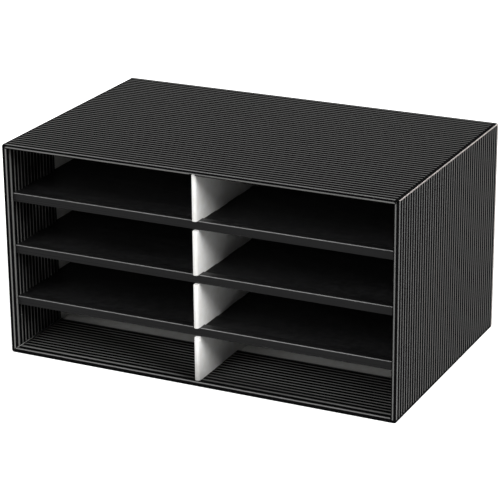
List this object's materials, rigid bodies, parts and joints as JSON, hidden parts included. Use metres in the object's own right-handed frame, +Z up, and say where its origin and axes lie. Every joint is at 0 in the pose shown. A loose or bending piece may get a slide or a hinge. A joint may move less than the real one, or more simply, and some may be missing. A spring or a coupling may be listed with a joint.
{
  "type": "literature organizer",
  "caption": "Desktop literature organizer of pinstriped board with open letter-size compartments, plastic-edged shelves and white centre dividers.",
  "frame": {"origin": "centre of the resting face", "axes": "+X to the right seen from the open front, +Y to the back, +Z up; the open front faces -Y"},
  "size_m": [0.4952, 0.3144, 0.2604],
  "materials": {
    "striped_board": "black printed corrugated board with thin grey pinstripes, satin",
    "white_liner": "white-lined board, matt",
    "shelf_board": "black fibreboard, satin",
    "moulding_plastic": "black extruded plastic edge, satin",
    "white_board": "white folded board, matt"
  },
  "bodies": {
    "root": {"shell_top": "striped_board", "shell_bottom": "striped_board", "shell_left": "striped_board", "shell_right": "striped_board", "top_inner_flap": "striped_board", "bottom_inner_flap": "striped_board", "left_inner_flap": "striped_board", "right_inner_flap": "striped_board", "top_rear_flap": "striped_board", "bottom_rear_flap": "striped_board", "left_rear_flap": "striped_board", "right_rear_flap": "striped_board", "left_liner": "white_liner", "right_liner": "white_liner", "shelf_1": "shelf_board", "shelf_2": "shelf_board", "shelf_3": "shelf_board", "shelf_moulding_1": "moulding_plastic", "shelf_moulding_2": "moulding_plastic", "shelf_moulding_3": "moulding_plastic", "divider_1": "white_board", "divider_2": "white_board", "divider_3": "white_board", "divider_4": "white_board"}
  },
  "joints": []
}
